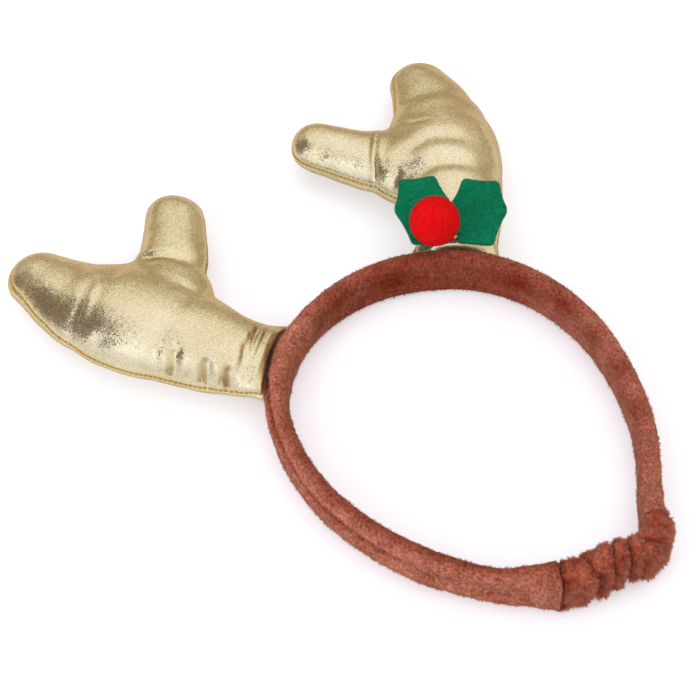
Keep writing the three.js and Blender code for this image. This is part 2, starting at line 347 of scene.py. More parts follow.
def press_fold(points, normals, side, path, depth, width, ends=0.25, ridges=FOLD_RIDGES):
    """A valley along a path with a low ridge to each side, fading at its ends, on the upper or lower side."""
    apart, along = along_path(points, path)
    fade = np.clip(np.minimum(along, 1 - along) / ends + FOLD_END_DEPTH, 0, 1)
    valley = bell(apart, width)
    ridge = ridges * bell(apart, RIDGE_WIDE * width, RIDGE_AT * width)
    facing = np.clip(side * normals[:, 2] * EDGE_FADE + EDGE_LEFT, 0, 1)
    return points + normals * (depth * fade * facing * (ridge - valley))[:, None]


def nudge(points, pushes):
    """Soft pushes, as with proportional editing: points near a path, seen from above, go along with it."""
    for push in pushes:
        apart, _ = along_path(points, np.array(push["path"]) * MM)
        pull = bell(apart, push["reach"] * MM)
        points = points + pull[:, None] * np.array(push["shift"]) * MM
    return points


# %% [markdown]
# ## Antlers
# Each antler is two panels of foil-coated cloth sewn together round the edge, turned and stuffed. The seam is
# where a level cut at half height would pass, so the cut itself gives the seam line: the copy is bisected and
# only the cut's edges are kept. The seam is held while the bag is blown up, so the panels belly out from it.

# %% Seam line round an antler
SEAM_HEIGHT = 14.2 * MM
SEAM_STEP = 0.5 * MM


def seam_line(piece, height):
    """The longest closed line where a level plane cuts a piece, as points in order."""
    line = bpy.data.objects.new("seam_line", piece.data.copy())
    scene.collection.objects.link(line)
    only(line)
    bpy.ops.object.mode_set(mode="EDIT")
    bpy.ops.mesh.select_all(action="SELECT")
    bpy.ops.mesh.bisect(plane_co=(0, 0, height), plane_no=(0, 0, 1), clear_inner=True, clear_outer=True)
    bpy.ops.object.mode_set(mode="OBJECT")
    points = read_points(line)
    nearby = {i: [] for i in range(len(points))}
    for edge in line.data.edges:
        a, b = edge.vertices
        nearby[a].append(b)
        nearby[b].append(a)
    loops = []
    unseen = set(nearby)
    while unseen:
        here = unseen.pop()
        loop = [here]
        while True:
            onward = [i for i in nearby[here] if i in unseen]
            if not onward:
                break
            here = onward[0]
            unseen.discard(here)
            loop.append(here)
        loops.append(loop)
    bpy.data.objects.remove(line)
    return points[max(loops, key=len)]


def spaced(points, pitch):
    """A closed line's points, set out again at an even pitch."""
    closed = np.vstack([points, points[:1]])
    reached = np.concatenate([[0], np.cumsum(np.linalg.norm(np.diff(closed, axis=0), axis=1))])
    stops = np.arange(0, reached[-1], pitch)
    return np.stack([np.interp(stops, reached, closed[:, k]) for k in range(3)], axis=1)


# %% [markdown]
# ### Gold cloth
# The cloth is coated with pale gold foil, which mirrors the room like worn metal. The foil is a mosaic of fine
# flakes: each has its own shade and leans its own way, and that gives the glitter. A cell pattern gives every
# flake a random colour. The same colour read as a direction tilts a small plane in the flake, and a bump node turns
# the planes into slopes. An image would repeat and blur up close, and the pattern doesn't.

# %% Helpers for materials
def soft_material(name, roughness):
    """A new material, its node tree, its shader and the place on the object that patterns are read at."""
    made = bpy.data.materials.new(name)
    made.use_nodes = True
    tree = made.node_tree
    shader = tree.nodes["Principled BSDF"]
    plug(tree, shader, {"Roughness": roughness})
    return made, tree, shader, node(tree, "ShaderNodeTexCoord").outputs["Object"]


def noise(tree, place, scale, detail=2):
    """A cloudy value between 0 and 1."""
    return node(tree, "ShaderNodeTexNoise", {"Vector": place, "Scale": scale, "Detail": detail}).outputs["Fac"]


def mix(tree, factor, first, second, blend_type="MIX"):
    """A second colour laid over a first."""
    sockets = {"Factor": factor, 6: first, 7: second}
    return node(tree, "ShaderNodeMix", sockets, data_type="RGBA", blend_type=blend_type).outputs[2]


# %% Gold cloth
FLAKES_PER_METRE, FLAKE_RELIEF = 2300, 0.08 * MM
FOIL_ROUGHNESS = (0.14, 0.26)
FOIL_TONES = [(0.35, (0.59, 0.52, 0.308)), (0.65, (0.655, 0.585, 0.38))]
FLAKE_TONES = [(0.2, (0.84, 0.83, 0.80)), (0.6, (1, 1, 1))]
gold, gold_tree, gold_shader, gold_place = soft_material("gold_foil_cloth", FOIL_ROUGHNESS[1])
gold_patches = noise(gold_tree, gold_place, 55, 4)
gold_fine = vectors(gold_tree, "SCALE", {0: gold_place, "Scale": FLAKES_PER_METRE})
gold_flakes = node(gold_tree, "ShaderNodeTexVoronoi", {"Vector": gold_fine, "Scale": 1}).outputs
gold_inside = vectors(gold_tree, "SUBTRACT", {0: gold_fine, 1: gold_flakes["Position"]})
gold_heading = vectors(gold_tree, "SUBTRACT", {0: gold_flakes["Color"], 1: (0.5, 0.5, 0.5)})
gold_slope = vectors(gold_tree, "DOT_PRODUCT", {0: gold_inside, 1: gold_heading})
gold_bump = node(gold_tree, "ShaderNodeBump", {"Strength": 1, "Distance": FLAKE_RELIEF, "Height": gold_slope})
gold_foil = tones(gold_tree, gold_patches, FOIL_TONES)
gold_speck = tones(gold_tree, gold_flakes["Color"], FLAKE_TONES)
plug(gold_tree, gold_shader, {
    "Base Color": mix(gold_tree, 1, gold_foil, gold_speck, "MULTIPLY"),
    "Metallic": 0.92,
    "Specular Tint": (0.72, 0.50, 0.34, 1),
    "Roughness": span(gold_tree, gold_patches, (0, 1), FOIL_ROUGHNESS),
    "Normal": gold_bump.outputs["Normal"],
})
print(gold.name, "with", FLAKES_PER_METRE, "flakes to the metre")

# %% [markdown]
# ### Folds and stuffing
# Stuffed cloth can't stay smooth where it bends: it creases at the root of a tine, dimples beside the seam and
# gathers at the collar, where the antler is squeezed into the band. Each fold is a path seen from above with a
# depth of about a millimetre, so it can be placed like a line drawn on the photograph. Soft pushes, as with
# proportional editing, then take the outline to where the stuffing holds it.

# %% Folds of the two antlers
# Seen from above, in millimetres
FOLDS = {
    "left": [
        {"path": [(-64, 100.5), (-56.5, 95), (-51, 89.5)], "depth": 0.6, "width": 1.7},
        {"path": [(-61.5, 77), (-58, 71), (-55, 64)], "depth": 0.4, "width": 2.2},
        {"path": [(-71, 106), (-75, 99), (-82, 93)], "depth": 0.4, "width": 2.6},
        {"path": [(-87, 96), (-96, 88), (-104, 82.5)], "depth": -0.4, "width": 1.8},
        {"path": [(-79.5, 48.5), (-85.5, 41)], "depth": 1.15, "width": 2.2, "ridges": 0.2},
        {"path": [(-71.5, 37.5), (-77, 30.5)], "depth": 1.25, "width": 2.2, "ridges": 0.2},
        {"path": [(-65.5, 30), (-70.5, 23.5)], "depth": 1.2, "width": 2.0, "ridges": 0.2},
        {"path": [(-40, 40), (-52, 30), (-63, 21)], "depth": 0.8, "width": 0.9},
        {"path": [(-43, 41.5), (-54, 31.5), (-64.5, 22)], "depth": 1.2, "width": 1.1},
        {"path": [(-47, 40), (-57, 31.5), (-65.5, 23)], "depth": 0.9, "width": 1.0},
        {"path": [(-54, 36), (-60, 30), (-67, 24)], "depth": 0.7, "width": 1.1},
    ],
    "right": [
        {"path": [(61, 103), (52, 93), (48, 88), (43, 80)], "depth": 1.3, "width": 1.5, "ridges": 0.25},
        {"path": [(70, 107), (73, 96), (79, 89)], "depth": 0.5, "width": 1.2, "ridges": 0.15},
        {"path": [(54, 68), (66, 66), (79, 54)], "depth": 0.7, "width": 3.4},
        {"path": [(57, 82), (72, 80), (86, 69)], "depth": 0.6, "width": 3.4},
        {"path": [(54, 77), (45, 72)], "depth": 0.5, "width": 2.2, "ridges": 0.2},
        {"path": [(40, 40), (52, 30), (63, 21)], "depth": 0.8, "width": 0.9},
        {"path": [(43, 41.5), (54, 31.5), (64.5, 22)], "depth": 1.2, "width": 1.1},
        {"path": [(47, 40), (57, 31.5), (65.5, 23)], "depth": 0.9, "width": 1.0},
    ],
}
# Places that the stuffing keeps smooth, and how far round: the corners where a tine grows out, and the beam's end
SMOOTH_PLACES = [(66, 100, 11), (47, 72, 11), (96, 106, 24), (86, 90, 16), (80, 51, 9)]
ANTLER_PUSHES = {
    "left": [
        {
            "path": [(-110, 95), (-108, 84), (-103, 68), (-91, 50), (-78, 34), (-66, 22)],
            "reach": 9,
            "shift": (-0.75, -1.0, 0),
        },
        {"path": [(-111, 126), (-104, 131), (-88, 127)], "reach": 8, "shift": (-0.2, 0.8, 0)},
        {"path": [(-42, 127), (-34, 130)], "reach": 8, "shift": (-0.3, 1.1, 0)},
        {"path": [(-71, 101), (-64, 101)], "reach": 5.5, "shift": (0, 2.4, 0.6)},
        {"path": [(-40, 35), (-50, 26.5), (-60, 17.5)], "reach": 5, "shift": (0, 0, 3.2)},
        {"path": [(-86, 52), (-90, 46)], "reach": 6, "shift": (0, 0, 0.4)},
    ],
    "right": [
        {"path": [(64, 101), (71, 101)], "reach": 5.5, "shift": (0, 2.4, 0.6)},
        {"path": [(43, 84), (47, 72)], "reach": 6, "shift": (-0.5, -0.8, 0)},
        {"path": [(40, 35), (50, 26.5), (60, 17.5)], "reach": 5, "shift": (0, 0, 0.4)},
    ],
}
print("folds", {side: len(folds) for side, folds in FOLDS.items()})

# %% Pucker and smooth
PUCKER_PITCH, PUCKER_WIDTH = 7 * MM, 1.2 * MM
# Shortest and longest half of a pucker, and the deepest one, in millimetres
PUCKER_REACH, PUCKER_DEPTH = (3, 6), 0.035
PUCKER_SLANT = 0.5
LEAST_WEIGHT = 0.02


def distances(points, line):
    """How far each point is from the nearest point of a finely spaced line."""
    tree = KDTree(len(line))
    for i, place in enumerate(line):
        tree.insert(place, i)
    tree.balance()
    return np.array([tree.find(point)[2] for point in points])


def pucker(points, normals, line, dice):
    """Short shallow folds that the stitching gathers in along the seam, on both panels."""
    for i in range(len(line)):
        tangent = (line[(i + 1) % len(line)] - line[i - 1])[:2]
        across = np.array([-tangent[1], tangent[0]]) / np.linalg.norm(tangent)
        for side in (1, -1):
            reach = dice.uniform(*PUCKER_REACH) * MM
            depth = dice.uniform(0, PUCKER_DEPTH) * MM
            heading = across + dice.uniform(-PUCKER_SLANT, PUCKER_SLANT) * tangent / np.linalg.norm(tangent)
            path = [line[i][:2] - heading * reach, line[i][:2] + heading * reach]
            points = press_fold(points, normals, side, path, depth, PUCKER_WIDTH, ends=0.5)
    return points


def smooth(piece, rounds, weights=None):
    """Evens a skin out, everywhere or by how much each point is weighted."""
    only(piece)
    bpy.ops.object.modifier_add(type="SMOOTH")
    softer = piece.modifiers[-1]
    softer.factor = 0.5
    softer.iterations = rounds
    if weights is not None:
        group = piece.vertex_groups.new(name="softened")
        for i in np.nonzero(weights > LEAST_WEIGHT)[0]:
            group.add([int(i)], weights[i], "REPLACE")
        softer.vertex_group = group.name
    bpy.ops.object.modifier_apply(modifier=softer.name)


# %% Stuff an antler
ANTLER_VOXEL = 1.6 * MM
SEAM_HOLD = 1.4 * MM
SEAM_DEPTH, SEAM_WIDTH = 0.6 * MM, 0.9 * MM
AIR = {"pressure": 5, "spare": 0.008, "cap": 1.2 * MM}
SMOOTH_ROUNDS, CORNER_ROUNDS = 9, 24
PUCKER_SEEDS = {"left": 7, "right": 11}


def stuffed_antler(side):
    """The antler on one side, blown up, folded and puckered, and its seam line."""
    piece = soft_copy(f"antler_{side}", f"stuffed_antler_{side}", ANTLER_VOXEL)
    line = spaced(seam_line(piece, SEAM_HEIGHT), SEAM_STEP)
    held = np.nonzero(distances(read_points(piece), line) < SEAM_HOLD)[0]
    inflate(piece, held, **AIR)
    smooth(piece, SMOOTH_ROUNDS)
    flat = read_points(piece)[:, :2] * (-1 if side == "left" else 1, 1)
    near = [bell(np.linalg.norm(flat - np.array(spot[:2]) * MM, axis=1), spot[2] * MM) for spot in SMOOTH_PLACES]
    smooth(piece, CORNER_ROUNDS, np.max(near, axis=0))
    write_points(piece, nudge(read_points(piece), ANTLER_PUSHES[side]))
    line = nudge(line, ANTLER_PUSHES[side])
    subdivide(piece)
    points, normals = read_points(piece), read_normals(piece)
    for fold in FOLDS[side]:
        path = np.array(fold["path"]) * MM
        depth, width = fold["depth"] * MM, fold["width"] * MM
        points = press_fold(points, normals, 1, path, depth, width, ridges=fold.get("ridges", FOLD_RIDGES))
    dice = np.random.default_rng(PUCKER_SEEDS[side])
    points = pucker(points, normals, line[:: round(PUCKER_PITCH / SEAM_STEP)], dice)
    points = points - normals * (SEAM_DEPTH * bell(distances(points, line), SEAM_WIDTH))[:, None]
    lay(piece, points)
    piece.data.materials.append(gold)
    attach(piece, "root")
    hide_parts(f"antler_{side}")
    print(piece.name, len(piece.data.vertices), "points")
    return piece, line


# %% Make both antlers
antlers = {side: stuffed_antler(side) for side in ("left", "right")}

# %% [markdown]
# ### Edge stitches
# A row of yellow thread closes each antler, just inside its edge. One stitch is a bead: a small sphere, drawn out
# and applied. The row is that bead copied along the seam line, seated on the cloth and turned along the seam. It
# stops where the antler enters the band. A curve with a dashed texture would look flat from the side.

# %% Edge stitches
STITCH_PITCH = 2.1 * MM
STITCH_CLEAR = 1.5 * MM
STITCH_LONG, STITCH_WIDE = 1.0 * MM, 0.52 * MM
THREAD_TONES = [(0.3, (0.27, 0.155, 0.001)), (0.7, (0.50, 0.32, 0.004))]
thread, thread_tree, thread_shader, thread_place = soft_material("yellow_thread", 0.5)
thread_twist = noise(thread_tree, thread_place, 2600)
plug(thread_tree, thread_shader, {"Base Color": tones(thread_tree, thread_twist, THREAD_TONES)})


def surface(piece):
    """A piece's surface, ready for finding nearest points and casting rays."""
    return BVHTree.FromObject(piece, bpy.context.evaluated_depsgraph_get())


def one_stitch():
    """A short bead of thread lying along X, as points and faces."""
    bpy.ops.object.select_all(action="DESELECT")
    bpy.ops.mesh.primitive_uv_sphere_add(segments=6, ring_count=5, radius=1)
    bead = bpy.context.object
    bpy.ops.transform.resize(value=(STITCH_LONG, STITCH_WIDE, STITCH_WIDE))
    bpy.ops.object.transform_apply(scale=True)
    points = read_points(bead)
    faces = [list(face.vertices) for face in bead.data.polygons]
    bpy.data.objects.remove(bead)
    return points, faces


def stitch_row(name, line, cloth, band_tree):
    """Copies of one stitch set end to end along a seam, on the cloth and clear of the band."""
    bead, bead_faces = one_stitch()
    cloth_tree = surface(cloth)
    places = spaced(line, STITCH_PITCH)
    points, faces = [], []
    for i, place in enumerate(places):
        if band_tree.find_nearest(place)[3] < STITCH_CLEAR:
            continue
        seat, outwards, *_ = cloth_tree.find_nearest(place)
        ahead = Vector(places[(i + 1) % len(places)] - places[i - 1]).normalized()
        side = outwards.cross(ahead).normalized()
        turn = np.array([ahead, side, ahead.cross(side)])
        faces += [[corner + len(points) * len(bead) for corner in face] for face in bead_faces]
        points.append(bead @ turn + np.array(seat))
    mesh = bpy.data.meshes.new(name)
    mesh.from_pydata(np.vstack(points).tolist(), [], faces)
    row = bpy.data.objects.new(name, mesh)
    scene.collection.objects.link(row)
    only(row)
    bpy.ops.object.shade_smooth()
    row.data.materials.append(thread)
    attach(row, "root")
    print(name, len(points), "stitches")


solid_tree = {name: surface(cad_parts[name]) for name in ("band", "elastic_sleeve")}
for side, (antler, line) in antlers.items():
    stitch_row(f"edge_stitches_{side}", line, antler, solid_tree["band"])

# %% [markdown]
# ## Band
# The band is a strip of foam in a sleeve of short brown plush, closed by a seam along its outer face. The copy
# of the solid already has the seam as a soft hollow. A sharper line is pressed in after the skin is made.
# Plush is a cloth ground with a pile of cut fibres standing on it, so the skin is drawn in first and the pile
# is set on it as thousands of thin spikes that lean together in tufts.

# %% [markdown]
# ### Brown plush
# Deep in plush the pile lies in its own shade, so the ground and the roots of the fibres are painted dark as
# painted shade, and the tips are pale. The material mixes a deep and a pale colour by a value that each fibre
# carries. It darkens the mix by a second value that is worked out for the skin: painted shade in the seam, in the
# creases, at the sleeve's join and where the nap is brushed towards the eye, and rubbed wear. The band has a short
# pile and the sleeve a longer, redder one.

# %% Brown plush
# Each pair of colours is for two kinds of patch: the painted shade deep in the pile, and the tips of its fibres
SHORT_PILE = {
    "shade_in_pile": [(0.21, 0.042, 0.019), (0.28, 0.064, 0.032)],
    "tips": [(0.62, 0.298, 0.193), (0.82, 0.435, 0.308)],
}
LONG_PILE = {
    "shade_in_pile": [(0.22, 0.030, 0.011), (0.29, 0.045, 0.018)],
    "tips": [(0.77, 0.225, 0.114), (0.98, 0.372, 0.218)],
}
# Where in the noise the two kinds of patch are reached
PATCHES = (0.35, 0.65)
# How much of each colour is left under the fullest painted shade or rubbed wear
WEAR_AND_SHADE_TINT = (0.42, 0.10, 0.02, 1)


def plush_material(name, tip, colours, sheen):
    """Brown plush: patches of light and dark nap, darker under painted shade and rubbed wear, and paler at the tips
    of its fibres than in the painted shade at their roots."""
    made, tree, shader, place = soft_material(name, 1.0)
    patches = noise(tree, place, 110, 3)
    shade_in_pile, pale = (tones(tree, patches, list(zip(PATCHES, colours[key]))) for key in ("shade_in_pile", "tips"))
    pressed = node(tree, "ShaderNodeAttribute", attribute_name="pressed").outputs["Fac"]
    blend = mix(tree, tip(tree, place), shade_in_pile, pale)
    plug(tree, shader, {
        "Base Color": mix(tree, pressed, blend, WEAR_AND_SHADE_TINT, "MULTIPLY"),
        "Specular IOR Level": 0.05,
        "Sheen Weight": sheen,
        "Sheen Roughness": 0.5,
        "Sheen Tint": (0.85, 0.47, 0.36, 1),
    })
    return made


def ground_tip(tree, place):
    """How pale the ground is between the fibres: mostly in the painted shade of the pile, and varying from tuft to
    tuft.
    """
    return span(tree, noise(tree, place, 900, 3), (0.33, 0.67), (0, 0.4))


def fibre_tip(tree, place):
    """How pale a fibre is, as stored along it."""
    return node(tree, "ShaderNodeAttribute", attribute_name="tip").outputs["Fac"]


plush_ground = plush_material("short_plush_ground", ground_tip, SHORT_PILE, 0)
plush_fibre = plush_material("short_plush_fibre", fibre_tip, SHORT_PILE, 0.3)
long_ground = plush_material("long_plush_ground", ground_tip, LONG_PILE, 0)
long_fibre = plush_material("long_plush_fibre", fibre_tip, LONG_PILE, 0.4)
print("plush", [made.name for made in (plush_ground, plush_fibre, long_ground, long_fibre)])

# %% [markdown]
# ### Where the nap is dark
# Three things darken the band: painted shade in the seam on its outer face, painted shade that follows the way the
# nap is brushed round the loop, and rubbed spots of wear on its inner face. They are kept as places and reaches and
# worked out for every point of the skin, which is what weight painting does by hand.

# %% Painted shade, rubbed places and the drawn-in seam
LOOP_CENTRE = np.array([0, -41.5]) * MM
# First and last turn of the band round the loop, in degrees from the far side
BAND_FROM, BAND_TO = -152, 149
# Turn in degrees, and the height of the seam there in millimetres
BAND_SEAM = [
    (-152, 10), (-126, 12), (-120, 13.2), (-88, 14), (-80, 14.6), (-71, 16.6), (-62, 17.6), (-48, 17.6),
    (-30, 14), (149, 13),
]
# Turn, and how far the painted shade of the seam reaches in millimetres: further on the near face, which is seen at
# a slant
SEAM_SHADE = [(-152, 1.3), (-84, 1.5), (-70, 1.1), (149, 1.1)]
# The painted shade of the seam is uneven: how strong it is, bit by bit round the loop
SEAM_SHADE_STRENGTH = np.random.default_rng(5).uniform(0.55, 0.95, 70)
# Painted shade of the nap, which is brushed towards the eye in some parts of the loop: turn in degrees, and how
# strong the painted shade is
PAINTED_NAP_SHADE = [
    (-152, 0.56), (-144, 0.66), (-134, 0.56), (-80, 0.48), (-62, 0.36), (-48, 0.18), (-35, 0), (-24, 0), (-8, 0.5),
    (10, 0.64), (48, 0.67), (60, 0.45), (70, 0.33), (82, 0.1), (95, 0.26), (105, 0.26), (149, 0.2),
]
# Dark rubbed places on the inner face of the band, in millimetres
RUBBED = [
    {"at": (18, 33, 12.5), "reach": (8, 6, 6), "depth": 0.8},
    {"at": (30, 28, 9), "reach": (6, 6, 5), "depth": 0.4},
    {"at": (58, -1, 14.5), "reach": (5, 8, 5), "depth": 0.9},
    {"at": (64, -21, 17.5), "reach": (5, 8, 5.5), "depth": 0.9},
    {"at": (63.6, -39, 16.3), "reach": (5, 7, 5), "depth": 0.5},
    {"at": (60.5, -60, 18), "reach": (5, 7, 5), "depth": 0.5},
    {"at": (53, -79, 18.5), "reach": (5, 7, 5), "depth": 0.5},
    {"at": (-9, 35.5, 15.5), "reach": (7, 5, 5), "depth": 0.5},
]


def by_turn(turn, table):
    """A value read off a table of turns."""
    return np.interp(turn, *zip(*table))


def band_seam_line(tree, step=0.4, away=150 * MM):
    """Where rays sent inwards at seam height first meet the band, all round the loop."""
    line = []
    for turn in np.arange(BAND_FROM, BAND_TO, step):
        out = np.array([math.sin(math.radians(turn)), math.cos(math.radians(turn)), 0])
        start = np.array([*LOOP_CENTRE, by_turn(turn, BAND_SEAM) * MM]) + out * away
        place, *_ = tree.ray_cast(Vector(start), Vector(-out))
        if place is not None:
            line.append(np.array(place))
    return np.array(line)


def turn_of(points):
    """Turn round the loop in degrees from the far side."""
    return np.degrees(np.arctan2(points[:, 0] - LOOP_CENTRE[0], points[:, 1] - LOOP_CENTRE[1]))


def pressed_at(points, normals, seam_shade):
    """Painted shade and rubbed wear at each point, from 0 to 1. The painted shade of the nap is left off where the
    face turns outwards.
    """
    turn = turn_of(points)
    outwards = np.stack([np.sin(np.radians(turn)), np.cos(np.radians(turn))], axis=1)
    # The painted shade of the nap is left off where the face turns outwards
    facing_out = (normals[:, :2] * outwards).sum(axis=1).clip(0, 1)
    dark = np.maximum(by_turn(turn, PAINTED_NAP_SHADE) * (1 - facing_out), seam_shade)
    for spot in RUBBED:
        apart = (points - np.array(spot["at"]) * MM) / (np.array(spot["reach"]) * MM)
        dark = dark + (1 - dark) * spot["depth"] * np.exp(-(apart**2).sum(axis=1))
    return dark


def write_attribute(piece, name, values):
    """Stores a value on each point of a mesh, for its material and its pile."""
    made = piece.data.attributes.new(name, "FLOAT", "POINT")
    made.data.foreach_set("value", np.asarray(values, np.float32))


# %% [markdown]
# ### Padded band
# The skin is a remeshed copy of the solid, drawn in by the height of the pile. It isn't blown up: foam fills it
# evenly, and air would only round off the seam. The seam is cast on the skin with rays from outside, then the
# cloth is pulled in along it and rolls out beside it, mostly below.

# %% Padded band
BAND_VOXEL = 1.5 * MM
PILE_ROOM = 0.8 * MM
# How the cloth is pulled in at the seam and rolls out above and below it
SEAM_PULL, SEAM_PULL_REACH = 2.0 * MM, 1.6 * MM
ROLL_ABOVE, ROLL_BELOW = 0.3 * MM, 1.3 * MM
ROLL_AT, ROLL_REACH = 4.5 * MM, 3 * MM
# The painted shade of the seam lies a little below it, fades out near the sleeve and shortens the fibres
SHADE_DROP = 0.8 * MM
SHADE_FADE = [(-140, 0), (-118, 1)]
SHADE_SHORTENS = 0.88
# The band is thinner before its near end, seen from above in millimetres
THIN_PATH = [(-44, -105), (-24, -122)]
THIN_REACH, THIN_DEPTH = 11 * MM, 0.7 * MM
# The loop's two sides bulge, and the band's near end is drawn in before the sleeve and flares at its hem
BAND_PUSHES = [
    {"path": [(48, 15), (66, -12), (71, -35)], "reach": 14, "shift": (0.9, 0.5, 0)},
    {"path": [(-72, -40), (-62, -80), (-45, -103)], "reach": 12, "shift": (-0.5, -0.4, 0)},
    {"path": [(-53, -94), (-47, -102), (-40, -110)], "reach": 5.5, "shift": (0.6, 0.8, 0)},
    {"path": [(-29, -110.5), (-22, -113)], "reach": 5, "shift": (0.3, 0.7, 1.5)},
    {"path": [(-28, -121.5), (-22, -123.5)], "reach": 5, "shift": (-0.4, -1.3, 0)},
]
# Within this reach of another piece a skin isn't drawn in fully, and not at all in the nearest part of it
MEETING_REACH, MEETING_PART = 3 * MM, 0.3


def shrink(piece, depth, others):
    """Draws a skin in to leave room for its pile, but not where it meets another piece."""
    points, normals = read_points(piece), read_normals(piece)
    near = np.array([min(tree.find_nearest(Vector(point))[3] for tree in others) for point in points])
    depth = depth * np.clip(near / MEETING_REACH - MEETING_PART, 0, 1)
    lay(piece, points - normals * depth[:, None])


band = soft_copy("band", "padded_band", BAND_VOXEL)
shrink(band, PILE_ROOM, [solid_tree["elastic_sleeve"]])
write_points(band, nudge(read_points(band), BAND_PUSHES))
subdivide(band)
band_seam = band_seam_line(surface(band))
band_points, band_normals = read_points(band), read_normals(band)
band_turn = turn_of(band_points)
from_seam = distances(band_points, band_seam)
above = band_points[:, 2] > by_turn(band_turn, BAND_SEAM) * MM
rolls = np.where(above, ROLL_ABOVE, ROLL_BELOW) * bell(from_seam, ROLL_REACH, ROLL_AT)
from_shade = distances(band_points, band_seam - [0, 0, SHADE_DROP])
seam_shade = bell(from_shade, by_turn(band_turn, SEAM_SHADE) * MM) * by_turn(band_turn, SHADE_FADE)
seam_shade = seam_shade * np.interp(band_turn, np.linspace(BAND_FROM, BAND_TO, len(SEAM_SHADE_STRENGTH)), SEAM_SHADE_STRENGTH)
from_thin, _ = along_path(band_points, np.array(THIN_PATH) * MM)
swell = rolls - SEAM_PULL * bell(from_seam, SEAM_PULL_REACH) - THIN_DEPTH * bell(from_thin, THIN_REACH)
band_points = band_points + band_normals * swell[:, None]
lay(band, band_points)
write_attribute(band, "pressed", pressed_at(band_points, band_normals, seam_shade))
write_attribute(band, "length", 1 - SHADE_SHORTENS * seam_shade)
band.data.materials.append(plush_ground)
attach(band, "root")
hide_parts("band")
print("band", len(band.data.vertices), "points, seam of", len(band_seam))

# %% [markdown]
# ### Gathered sleeve
# At the back of the head a tube of longer plush is bunched up on a flat elastic, so it lies in rolls with deep
# creases between them. The copy of the solid gives the rolls. It is evened out, and each crease is pressed across
# it along a path seen from above. Air pressure would push the creases out again, so this piece goes without.

# %% Gathered sleeve
SLEEVE_VOXEL = 1.1 * MM
# Seen from above, in millimetres
GATHERS = [
    {"path": [(-11, -114), (-9, -120.5), (-10.3, -126), (-7, -130), (-3, -136)], "depth": 1.8, "width": 1.7},
    {"path": [(3.5, -118), (2.5, -121), (-2.4, -128), (-3.4, -132), (-1, -140)], "depth": 2.6, "width": 1.3},
    {"path": [(5, -122), (1.5, -127.5), (0.5, -131.5), (2, -138)], "depth": 0.9, "width": 0.9},
    {"path": [(8, -122), (6, -127), (4.1, -131), (4.3, -134), (7, -142)], "depth": 2.7, "width": 1.4},
    {"path": [(13, -126), (10.8, -129.6), (9.4, -135), (12, -142)], "depth": 0.8, "width": 1.4},
    {"path": [(12.5, -126), (14.5, -129), (18, -131.5)], "depth": 2.2, "width": 1.6},
    {"path": [(13, -123), (18, -124.5), (22, -125)], "depth": 1.2, "width": 1.2},
]
SLEEVE_PUSHES = [
    {"path": [(0, -136), (6, -137)], "reach": 6, "shift": (0, 2.6, 0)},
    {"path": [(12, -137), (20, -136.5), (24, -134)], "reach": 6, "shift": (-0.3, 2.0, 0)},
]
SLEEVE_PILE_ROOM = 1.5 * MM
SLEEVE_ROUNDS, LAST_ROUNDS = 22, 2
# A gather fades over this part of its length, down to this depth, and its ridges are set out in its widths
GATHER_ENDS, GATHER_END_DEPTH = 0.2, 0.3
GATHER_RIDGES, GATHER_RIDGE_AT, GATHER_RIDGE_WIDE = 0.35, 2.1, 1.2
# Creases at least this deep in millimetres get the fullest painted shade and the shortest fibres, and painted shade
# lies along the join to the band within its reach
FULL_CREASE_DEPTH = 2.2
JOIN_REACH = 1.6 * MM
# How strong the painted shade is in the creases and at the join, and how much the creases shorten the fibres
CREASE_SHADE, JOIN_SHADE, CREASE_SHORTENS = 0.8, 0.7, 0.5
sleeve = soft_copy("elastic_sleeve", "gathered_sleeve", SLEEVE_VOXEL)
smooth(sleeve, SLEEVE_ROUNDS)
shrink(sleeve, SLEEVE_PILE_ROOM, [solid_tree["band"]])
write_points(sleeve, nudge(read_points(sleeve), SLEEVE_PUSHES))
subdivide(sleeve)
sleeve_points, sleeve_normals = read_points(sleeve), read_normals(sleeve)
creased = np.zeros(len(sleeve_points))
for fold in GATHERS:
    apart, along = along_path(sleeve_points, np.array(fold["path"]) * MM)
    width = fold["width"] * MM
    fade = np.clip(np.minimum(along, 1 - along) / GATHER_ENDS + GATHER_END_DEPTH, 0, 1)
    valley = fade * bell(apart, width)
    ridge = GATHER_RIDGES * fade * bell(apart, GATHER_RIDGE_WIDE * width, GATHER_RIDGE_AT * width)
    sleeve_points = sleeve_points + sleeve_normals * (fold["depth"] * MM * (ridge - valley))[:, None]
    creased = np.maximum(creased, valley * min(1, fold["depth"] / FULL_CREASE_DEPTH))
lay(sleeve, sleeve_points)
smooth(sleeve, LAST_ROUNDS)
from_band = np.array([solid_tree["band"].find_nearest(Vector(point))[3] for point in sleeve_points])
write_attribute(sleeve, "pressed", np.maximum(CREASE_SHADE * creased, JOIN_SHADE * bell(from_band, JOIN_REACH)))
write_attribute(sleeve, "length", 1 - CREASE_SHORTENS * creased)
sleeve.data.materials.append(long_ground)
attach(sleeve, "root")
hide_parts("elastic_sleeve")
print("sleeve", len(sleeve.data.vertices), "points")

# %% [markdown]
# ### Pile
# The fuzz of the plush, and later of the felt, is real fibre: each one a thin spike of four triangles, rooted at
# a random place on the skin. Neighbours lean the same way and cling together in locks, which gives plush its
# tufts. Hair particles would look alike, but they aren't meshes. The spikes take their normals from the skin, with
# a little of their own lean, so the coat is lit as one soft surface.

# %% Where fibres stand and lean
WAVE_SPREAD, WAVE_PHASES = (0.7, 1.4), (0, 6.3)


